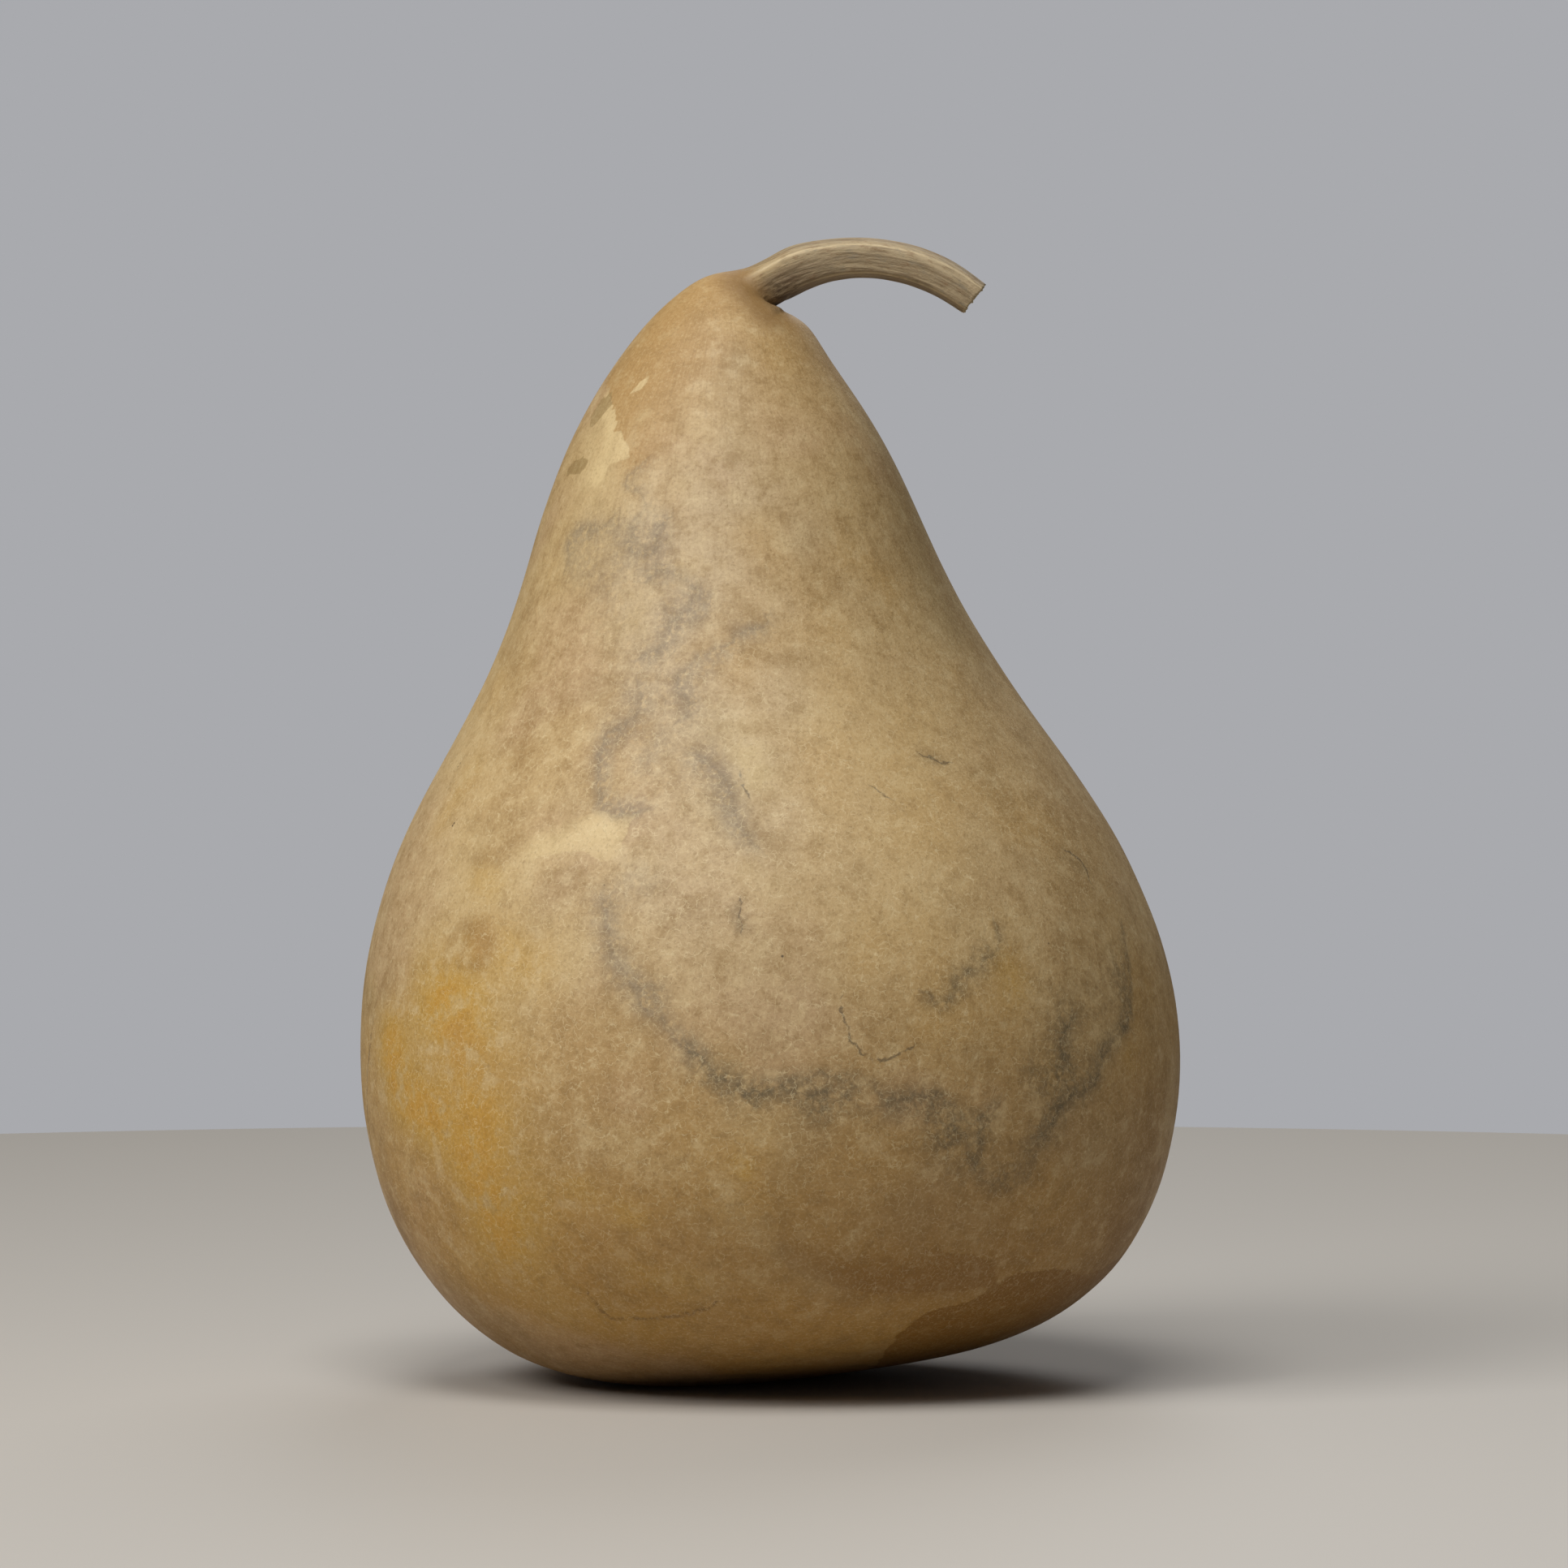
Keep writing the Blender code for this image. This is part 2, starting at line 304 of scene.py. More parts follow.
# Where skin has flaked or stayed damp, its edge is sharp. Each patch is: turn, the pixels round it, and the
# places of the rest of its edge on the underside, from left to right and from front to back in mm.
PATCHES = {
    "pale_edge": (
        (0, ((753, 457), (751, 475), (752, 491), (757, 507), (766, 536), (773, 552), (777, 568), (765, 567),
             (752, 569), (747, 578), (742, 592), (715, 610), (690, 580), (705, 520), (732, 480)), ()),
        (0, ((800, 460), (786, 470), (776, 485), (788, 480), (798, 470)), ()),
        (0, ((802, 992), (788, 1005), (776, 1012), (772, 1026), (766, 1038), (769, 1048), (757, 1060),
             (736, 1062), (722, 1050), (690, 1050), (650, 1060), (630, 1050), (650, 1030), (690, 1014),
             (733, 998), (760, 1001), (787, 1002)), ()),
        (185, ((950, 1000), (1020, 990), (1080, 1030), (1060, 1080), (980, 1075), (930, 1040)), ()),
    ),
    "damp_edge": (
        (0, ((957, 1545), (972, 1562), (990, 1576), (1010, 1580), (1026, 1586), (1060, 1592), (1088, 1595),
             (1130, 1596), (1168, 1593), (1200, 1589), (1226, 1583), (1230, 1572), (1224, 1560), (1208, 1550),
             (1190, 1545), (1154, 1543), (1110, 1520), (1040, 1490), (960, 1500)), ()),
        (90, ((1020, 1580), (1060, 1560), (1150, 1575), (1240, 1560), (1200, 1590), (1120, 1640),
              (1040, 1650)), ()),
        (270, ((700, 1570), (800, 1590), (860, 1570), (880, 1590), (860, 1650), (750, 1650)), ()),
    ),
    "olive_edge": (
        (0, ((754, 479), (754, 496), (736, 518), (724, 528), (727, 511), (739, 491)), ()),
        (0, ((700, 572), (710, 565), (718, 560), (724, 565), (723, 573), (715, 582), (703, 582),
             (696, 589)), ()),
    ),
    "soaked_edge": (
        (0, ((1060, 1690), (1084, 1675), (1100, 1653), (1112, 1640), (1130, 1625), (1154, 1613), (1190, 1608),
             (1212, 1596), (1228, 1584), (1245, 1574), (1262, 1566), (1290, 1567), (1322, 1562), (1328, 1572),
             (1345, 1570), (1374, 1556), (1392, 1535)),
         ((71.0, 8.0), (68.0, 22.0), (60.0, 33.0), (48.0, 38.0), (36.0, 33.0), (27.0, 22.0), (21.0, 8.0))),
        (180, ((720, 1610), (790, 1600), (880, 1625), (960, 1610), (1040, 1640)),
         ((-14.0, 52.0), (10.0, 40.0), (30.0, 50.0))),
    ),
}
# Each line is: turn and the pixels it follows. Whatever spreads from it lies on the left of the way it runs.
# Damp stopped at soft brown lines, mould dried along its edges, and the skin has thin dark cracks and folds.
LINES = {
    "tide_line": (
        (0, ((788, 573), (773, 583), (767, 593), (770, 602), (780, 605), (786, 612), (788, 620), (790, 628),
             (783, 633), (778, 650), (772, 668), (783, 683), (800, 684), (812, 675), (812, 655), (820, 645))),
        (0, ((800, 712), (812, 706), (828, 712), (848, 722), (856, 735), (850, 748), (835, 755), (822, 765),
             (820, 780), (815, 795), (798, 806))),
        (0, ((940, 765), (920, 773), (905, 780), (900, 790), (880, 800), (860, 805), (850, 815), (836, 828),
             (836, 850), (846, 868), (840, 880))),
        (0, ((748, 640), (735, 648), (712, 650), (700, 665), (697, 690))),
        (0, ((785, 850), (790, 870), (765, 892), (745, 900), (738, 925), (733, 950), (734, 975), (733, 998),
             (760, 1001), (787, 1003))),
        (0, ((930, 1035), (912, 1015), (904, 995), (900, 975), (895, 955), (880, 938), (862, 930))),
        (0, ((742, 1120), (746, 1155), (752, 1185), (770, 1208), (785, 1232), (800, 1252), (825, 1278),
             (850, 1298))),
        (100, ((1000, 640), (1030, 660), (1040, 700), (1020, 730), (1030, 770))),
        (190, ((860, 560), (850, 600), (880, 640), (930, 650), (940, 700), (990, 720))),
        (265, ((820, 620), (840, 660), (830, 710), (860, 760))),
    ),
    "mould_line": (
        (0, ((842, 1290), (870, 1318), (890, 1335), (908, 1348), (925, 1358), (940, 1354), (955, 1345),
             (975, 1338), (1000, 1334), (1020, 1336), (1040, 1342), (1056, 1340))),
        (0, ((898, 1322), (920, 1334), (950, 1338), (990, 1330), (1030, 1329), (1058, 1334), (1080, 1346))),
        (0, ((962, 1356), (990, 1349), (1015, 1350), (1036, 1358))),
        (0, ((1080, 1350), (1100, 1355), (1120, 1356), (1137, 1351), (1152, 1355), (1168, 1370), (1174, 1385),
             (1170, 1400))),
        (0, ((1206, 1429), (1212, 1402), (1218, 1382), (1229, 1367))),
        (0, ((1276, 1411), (1294, 1390), (1306, 1373), (1320, 1352), (1347, 1343), (1356, 1323), (1362, 1302),
             (1371, 1288), (1391, 1264), (1396, 1249), (1394, 1200), (1391, 1173), (1388, 1152))),
        (0, ((1318, 1261), (1306, 1285), (1308, 1308), (1300, 1326), (1306, 1345))),
        (0, ((1228, 1147), (1226, 1164), (1219, 1176), (1209, 1189), (1203, 1195), (1188, 1193), (1177, 1195),
             (1178, 1208), (1170, 1227), (1159, 1232), (1148, 1229))),
        (85, ((1000, 1150), (1040, 1220), (1070, 1290), (1120, 1330), (1180, 1325))),
        (120, ((980, 780), (1020, 830), (1055, 850))),
        (165, ((680, 1120), (710, 1200), (770, 1280), (860, 1330), (960, 1350), (1050, 1330))),
        (240, ((760, 1200), (820, 1290), (890, 1320), (930, 1280))),
    ),
    "crack": (
        (0, ((1032, 1232), (1036, 1250), (1046, 1264), (1050, 1278), (1058, 1288), (1064, 1302))),
        (0, ((1074, 1292), (1072, 1300), (1080, 1305), (1092, 1306), (1108, 1300), (1120, 1292))),
        (0, ((916, 957), (919, 974))),
        (0, ((1140, 930), (1152, 936), (1168, 940))),
        (0, ((1080, 974), (1090, 982))),
        (0, ((1318, 1050), (1334, 1060), (1342, 1078))),
        (0, ((912, 1115), (914, 1140))),
        (170, ((1000, 1180), (1010, 1210), (1040, 1222), (1060, 1250))),
        (255, ((800, 900), (820, 930), (815, 960))),
    ),
    "fold_line": (
        (0, ((731, 1605), (748, 1626), (770, 1627), (811, 1625), (846, 1622), (872, 1613))),
        (0, ((455, 1400), (452, 1330), (458, 1270))),
    ),
}
# Dark specks on the skin: turn and the pixel of each.
SPECKS = (
    (0, ((557, 1017), (559, 1014), (563, 944), (566, 940), (744, 1090), (1129, 861), (1293, 1162),
         (964, 1178))),
    (180, ((900, 1100), (1030, 870))),
    (270, ((800, 1200),)),
)
SPECK_RADIUS = 0.32
# Beyond this distance from a line or an edge, nothing of it shows.
MARK_REACH = 30.0
# Where to look up from for the underside, below the table top.
BELOW_TABLE = -10.0
# Stands in for a zero that would divide.
TINY = 1e-9

# Unevenness of colour that the mesh is fine enough to hold. Each is a sum of several kinds of bumps, and each
# kind has its height, its size in mm and its seed.
DRIFTS = {
    "drift": ((1.0, 60.0, 20), (0.6, 26.0, 30)),
    "blotch": ((1.0, 17.0, 21), (0.6, 8.0, 31)),
    "tint": ((1.0, 42.0, 22), (0.6, 15.0, 32)),
}
# Each seed's bumps are read this many bumps away from the last one's.
SEED_STEP = (17.3, 5.1, 9.7)

# Relief, as bumps whose height is in mm: the fibres and folds on the stem, its torn end, the rind's shallow
# dents and the puckers along the mould.
STEM_FIBRES = ((0.11, 0.9, 1), (0.06, 0.45, 2))
STEM_FOLDS = ((0.35, 2.2, 3),)
TORN_FIBRES = ((0.55, 1.3, 6), (0.3, 0.6, 7))
DENTS = ((0.3, 38.0, 4), (0.15, 17.0, 5))
PUCKERS = ((0.25, 6.0, 8),)
# Fibres and folds are drawn out along the stem, where a length counts for this share of itself. Folds slant
# by this share, end this far from the root, and start and are full at these heights over the middle line.
FIBRE_SHORTENED = 0.08
FOLD_SHORTENED = 0.25
FOLD_SLANT = 0.7
FOLDS_END = 12.0
FOLDS_INSIDE = (1.0, -2.0)
# The stem's end is torn this deep.
TORN_DEPTH = 1.2
# The rind is sunk this far under the smooth skin, so that its highest bumps stay inside the solid's box. Its
# relief starts at the first of these heights above the table and is full at the second.
RIND_SUNK = 0.3
RELIEF_STARTS = 4.0
RELIEF_FULL = 25.0
# Puckers fade over this distance from a line of mould.
PUCKER_REACH = 4.0

# The finer mesh: points closer than this are one, edges that turn by more degrees than this stay sharp, and
# each edge is halved this many times.
SAME_POINT = 0.02
SHARP_TURN = 60.0
HALVINGS = 2


def linear(hex_colour):
    """An sRGB colour such as "#c9b07a" as the linear colour that Blender mixes, with full alpha."""
    shares = [int(hex_colour[i : i + 2], 16) / 255 for i in (1, 3, 5)]
    return (*[s / 12.92 if s <= 0.04045 else ((s + 0.055) / 1.055) ** 2.4 for s in shares], 1.0)


def fade(value, start, end):
    """0 at start and 1 at end, smooth between them. End may be below start."""
    share = np.clip((value - start) / (end - start), 0, 1)
    return share * share * (3 - 2 * share)


def sights(turn, pixels):
    """Where the camera stands and which way each pixel of its picture looks, both turned round the gourd."""
    at, aim = np.array(CAMERA_AT), np.array(CAMERA_AIM)
    ahead = (aim - at) / np.linalg.norm(aim - at)
    right = np.array([1.0, 0.0, 0.0])
    up = np.cross(right, ahead)
    pixels_per_slope = PICTURE_SIDE * LENS / SENSOR
    middle = PICTURE_SIDE / 2
    ways = []
    for column, row in pixels:
        ways.append(ahead + (right * (column - middle) + up * (middle - row)) / pixels_per_slope)
    cosine, sine = math.cos(math.radians(turn)), math.sin(math.radians(turn))
    turned = np.array([[cosine, sine, 0], [-sine, cosine, 0], [0, 0, 1]])
    return at @ turned, np.array(ways) @ turned


def fine_skin():
    """The skin as a finer mesh than the solid's, curved smoothly between its points and sharp at the cut."""
    coarse = bmesh.new()
    coarse.from_mesh(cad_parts["dried_gourd"].data)
    bmesh.ops.remove_doubles(coarse, verts=coarse.verts, dist=SAME_POINT * MM)
    bmesh.ops.join_triangles(
        coarse, faces=coarse.faces, angle_face_threshold=math.pi, angle_shape_threshold=math.pi
    )
    crease = coarse.edges.layers.float.new("crease_edge")
    for edge in coarse.edges:
        if edge.is_manifold and edge.calc_face_angle() > math.radians(SHARP_TURN):
            edge[crease] = 1.0
    mesh = bpy.data.meshes.new("coarse_rind")
    coarse.to_mesh(mesh)
    coarse.free()
    cage = bpy.data.objects.new("coarse_rind", mesh)
    bpy.context.scene.collection.objects.link(cage)
    smooth = cage.modifiers.new("smooth", "SUBSURF")
    smooth.levels = smooth.render_levels = HALVINGS
    fine = bpy.data.meshes.new_from_object(cage.evaluated_get(bpy.context.evaluated_depsgraph_get()))
    bpy.data.objects.remove(cage)
    fine.name = "gourd"
    for name in ("crease_edge", "custom_normal"):
        if name in fine.attributes:
            fine.attributes.remove(fine.attributes[name])
    fine.materials.clear()
    fine.shade_smooth()
    return fine


def points_of(mesh):
    """The mesh's points and their outward directions, as rows, in millimetres."""
    points = np.zeros(len(mesh.vertices) * 3, np.float32)
    outward = np.zeros(len(mesh.vertices) * 3, np.float32)
    mesh.vertices.foreach_get("co", points)
    mesh.vertex_normals.foreach_get("vector", outward)
    return points.reshape(-1, 3).astype(float) / MM, outward.reshape(-1, 3).astype(float)


def stem_places(skin):
    """Each point's distance along the stem, height over its middle line, distance behind it and stem share."""
    across = skin[:, 0] - STEM_BEND_CENTRE[0]
    above = skin[:, 2] - STEM_BEND_CENTRE[1]
    height = np.hypot(across, above) - STEM_BEND_RADIUS
    angle = np.degrees(np.arctan2(above, across))
    along = np.radians(STEM_ROOT_ANGLE - angle) * STEM_BEND_RADIUS
    behind = skin[:, 1] - (STEM_SETBACK - STEM_SWING * np.clip(along / STEM_LENGTH, 0, 1))
    of_stem = fade(angle, STEM_ROOT_ANGLE + CORK_BEFORE_ROOT, STEM_ROOT_ANGLE - CORK_AFTER_ROOT)
    of_stem *= fade(np.abs(height), CORK_NONE, CORK_FULL)
    return along, height, behind, of_stem * (angle > STEM_CUT_ANGLE - CUT_DEGREES)


def away_from_scar(skin, outward):
    """Each point's distance to the middle of the scar, or a far one where the skin isn't the underside."""
    distance = np.hypot(skin[:, 0] - SCAR_PLACE[0], skin[:, 1] - SCAR_PLACE[1])
    underside = (outward[:, 2] < UNDERSIDE_CLIMB) & (skin[:, 2] < BELLY_MIDDLE[2])
    return np.where(underside, distance, MARK_REACH)


def rough(places, size, seed):
    """Smooth random values from -1 to 1 at the places, with bumps of about that size."""
    shift = Vector([seed * step for step in SEED_STEP])
    return np.array([noise.noise(Vector(place / size) + shift) for place in places])


def bumpy(places, bumps):
    """The sum of several kinds of bumps at the places, each given by its height, size and seed."""
    return sum(height * rough(places, size, seed) for height, size, seed in bumps)


def on_rind(skin_tree, turn, pixels):
    """Where the lines of sight of these pixels meet the rind, or pass it nearest, in millimetres."""
    start, ways = sights(turn, pixels)
    places = []
    for way in ways:
        hit = skin_tree.ray_cast(Vector(start * MM), Vector(way).normalized())[0]
        if hit is None:
            beside = start - way * (start[:2] @ way[:2]) / (way[:2] @ way[:2])
            hit = skin_tree.find_nearest(Vector(beside * MM))[0]
        places.append(hit)
    return np.array(places) / MM


def under_rind(skin_tree, places):
    """The points of the underside straight above these places on the table, in millimetres."""
    up = Vector((0, 0, 1))
    hits = [skin_tree.ray_cast(Vector((x, y, BELOW_TABLE)) * MM, up)[0] for x, y in places]
    return np.array(hits).reshape(-1, 3) / MM


def unrolled(places):
    """The skin laid flat round the base: how far up from it each place is, in the direction that it faces."""
    from_middle = places - np.array(BELLY_MIDDLE)
    out = np.hypot(from_middle[:, 0], from_middle[:, 1])
    climb = np.arctan2(out, -from_middle[:, 2])
    return from_middle[:, :2] * (climb / np.maximum(out, TINY))[:, None]


def distance_to_route(skin, route):
    """Each skin point's distance to a route of straight steps or to its one point, and the side it is on."""
    nearest = np.full(len(skin), np.inf)
    side = np.ones(len(skin))
    flat_skin, flat_route = unrolled(skin), unrolled(route)
    for i in range(max(len(route) - 1, 1)):
        a, b = route[i], route[min(i + 1, len(route) - 1)]
        step = b - a
        share = np.clip((skin - a) @ step / max(step @ step, TINY), 0, 1)
        distance = np.linalg.norm(skin - a - share[:, None] * step, axis=1)
        flat_step = flat_route[min(i + 1, len(route) - 1)] - flat_route[i]
        flat_away = flat_skin - flat_route[i]
        turn = flat_step[0] * flat_away[:, 1] - flat_step[1] * flat_away[:, 0]
        closer = distance < nearest
        nearest[closer] = distance[closer]
        side[closer] = np.where(turn[closer] < 0, -1, 1)
    return nearest, side


def smeared(skin, skin_tree, smears):
    """How much of a soft smear each skin point has taken, from 0 to 1: stains, painted shade and painted
    light.
    """
    amount = np.zeros(len(skin))
    for turn, radius, strength, pixels in smears:
        distance = distance_to_route(skin, on_rind(skin_tree, turn, pixels))[0]
        amount = 1 - (1 - amount) * (1 - strength * np.exp(-((distance / radius) ** 2)))
    return amount


def lined(skin, skin_tree, lines):
    """Each skin point's distance to the nearest of the lines, and the same with a sign for its side."""
    nearest = np.full(len(skin), MARK_REACH)
    signed = nearest.copy()
    for turn, pixels in lines:
        distance, side = distance_to_route(skin, on_rind(skin_tree, turn, pixels))
        closer = distance < nearest
        nearest[closer] = distance[closer]
        signed[closer] = (distance * side)[closer]
    return nearest, signed


def edged(skin, skin_tree, patches):
    """Each skin point's distance to the nearest patch's edge, above 0 inside a patch and below 0 outside."""
    inside_by = np.full(len(skin), -MARK_REACH)
    flat_skin = unrolled(skin)
    for turn, pixels, places in patches:
        edge = np.vstack([on_rind(skin_tree, turn, pixels), under_rind(skin_tree, places)])
        edge = np.vstack([edge, edge[:1]])
        distance = distance_to_route(skin, edge)[0]
        corners = unrolled(edge)
        inside = np.zeros(len(skin), bool)
        for (x, y), (next_x, next_y) in zip(corners[:-1], corners[1:]):
            crosses = (y > flat_skin[:, 1]) != (next_y > flat_skin[:, 1])
            rise = next_y - y
            meets = x + (next_x - x) * (flat_skin[:, 1] - y) / (rise if rise else TINY)
            inside ^= crosses & (flat_skin[:, 0] < meets)
        inside_by = np.maximum(inside_by, np.where(inside, distance, -distance))
    return np.maximum(inside_by, -MARK_REACH)


def marks_on(mesh, skin_tree):
    """What the materials need at each point: the stem, the way the grain runs, every stain, painted shade and
    light.
    """
    skin, outward = points_of(mesh)
    along, height, behind, of_stem = stem_places(skin)
    bearing = np.arctan2(skin[:, 1], skin[:, 0] - np.interp(skin[:, 2], AXIS_HEIGHTS, AXIS_PLACES))
    ridge_turn = np.radians(np.degrees(np.arctan2(-behind, height)) - FIRST_RIDGE) * RIDGES / 2
    near_cut = (of_stem > MOSTLY_STEM) * (along > STEM_LENGTH - CUT_DEPTH)
    from_root = np.hypot(along, np.maximum(np.abs(height) - ROOT_HALF_WIDTH, 0))
    marks = {
        "stem": of_stem,
        "grain": np.stack([np.cos(bearing) * STREAK_RADIUS, np.sin(bearing) * STREAK_RADIUS, skin[:, 2]], 1),
        "stem_grain": np.stack([height, behind, along], 1),
        "stem_height": height,
        "ridge": 1 - np.abs(np.sin(ridge_turn)),
        "cut": fade(outward @ OUT_OF_CUT, *CUT_FACING) * near_cut,
        "root": np.exp(-((from_root / ROOT_STAIN_RADIUS) ** 2)) * (along > -ROOT_STAIN_REACH),
        "scar": fade(away_from_scar(skin, outward), SCAR_STAIN_RADIUS, SCAR_DARK_RADIUS),
    }
    for name, bumps in DRIFTS.items():
        marks[name] = bumpy(skin, bumps)
    for name, smears in SMEARS.items():
        marks[name] = smeared(skin, skin_tree, smears)
    for name, patches in PATCHES.items():
        marks[name] = edged(skin, skin_tree, patches)
    for name, lines in LINES.items():
        marks["by_" + name], marks[name] = lined(skin, skin_tree, lines)
    return marks


def carve(mesh, marks):
    """Gives the skin its relief: fibres and folds on the stem, a torn cut, dents, puckers and the scar."""
    skin, outward = points_of(mesh)
    along, height, behind, of_stem = stem_places(skin)
    lift = np.zeros(len(skin))

    stem = np.flatnonzero(of_stem > 0)
    drawn_out = np.stack([height[stem], behind[stem], along[stem] * FIBRE_SHORTENED], 1)
    slanting = height[stem] + FOLD_SLANT * along[stem]
    folded = np.stack([slanting, behind[stem], along[stem] * FOLD_SHORTENED], 1)
    folds = bumpy(folded, STEM_FOLDS) * fade(along[stem], FOLDS_END, 0) * fade(height[stem], *FOLDS_INSIDE)
    lift[stem] = (bumpy(drawn_out, STEM_FIBRES) + folds) * of_stem[stem]

    body = of_stem < 1
    mouldy = np.maximum(marks["mould"][body], np.exp(-marks["by_mould_line"][body] / PUCKER_REACH))
    sunk = RIND_SUNK + bumpy(skin[body], DENTS) + bumpy(skin[body], PUCKERS) * mouldy
    lift[body] -= sunk * (1 - of_stem[body]) * fade(skin[body, 2], RELIEF_STARTS, RELIEF_FULL)

    from_scar = away_from_scar(skin, outward)
    lift -= SCAR_DEPTH * fade(from_scar, SCAR_RADIUS, SCAR_FLOOR_RADIUS)
    lift += SCAR_NUB_HEIGHT * fade(from_scar, SCAR_NUB_RADIUS, 0)
    skin += outward * lift[:, None]

    torn = (of_stem > MOSTLY_STEM) & (along > STEM_LENGTH - TORN_DEPTH)
    skin[torn] += OUT_OF_CUT * bumpy(skin[torn], TORN_FIBRES)[:, None]
    mesh.vertices.foreach_set("co", (skin * MM).astype(np.float32).ravel())
    mesh.update()


def add(tree, kind, sockets=(), **settings):
    """Adds one node. Sockets maps an input's name or number to a value or to the output that links there."""
    made = tree.nodes.new(kind)
    for name, value in settings.items():
        setattr(made, name, value)
    for name, value in dict(sockets).items():
        if isinstance(value, bpy.types.NodeSocket):
            tree.links.new(value, made.inputs[name])
        else:
            made.inputs[name].default_value = value
    return made


# Patterns too fine for the mesh to hold: what they follow, the size of their features in mm, their detail and
# roughness, and how far they are stretched along the grain. Real felt and stem fibres are half as thick.
PATTERNS = {
    "cloud": ("place", 5.0, 4.0, 0.6, 1.0),
    "felt": ("place", 0.75, 2.0, 0.7, 1.0),
    "parting": ("place", 2.8, 1.0, 0.5, 1.0),
    "wander": ("place", 7.0, 3.0, 0.6, 1.0),
    "crust": ("place", 1.8, 3.0, 0.7, 1.0),
    "streak": ("grain", 1.0, 2.0, 0.6, 9.0),
    "stem_streak": ("stem_grain", 0.6, 3.0, 0.6, 12.0),
    "stem_fleck": ("stem_grain", 1.3, 4.0, 0.7, 2.5),
}
# Fibres felted into the skin: the spacing of their net in mm, the pattern that parts it into short lengths,
# the values where these start and are full, and how plainly they show.
FIBRE_NETS = (
    (2.6, "parting", 0.44, 0.6, 1.0),
    (1.5, "parting", 0.54, 0.4, 0.65),
)
# Half a fibre's thickness, how far the net's straight meshes are bent, and the size of the bends, in mm.
FIBRE_HALF = 0.13
FIBRE_BEND = 2.2
BEND_SIZE = 1.6
# Mould grows in a net of strands, this many mm apart.
STRAND_SPACING = 3.4
# How far edges and lines stray from their routes, in mm for the whole range of a pattern.
STRAYING = {
    "pale_edge": (("wander", 2.0), ("crust", 0.9)),
    "damp_edge": (("wander", 4.0), ("crust", 1.5)),
    "olive_edge": (("wander", 2.0), ("crust", 0.9)),
    "soaked_edge": (("wander", 4.0), ("crust", 1.5)),
    "tide_line": (("wander", 6.0), ("crust", 3.0)),
    "mould_line": (("wander", 6.0), ("crust", 3.0)),
    "crack": (("wander", 4.0), ("crust", 2.0)),
    "fold_line": (("wander", 3.0), ("crust", 1.0)),
}
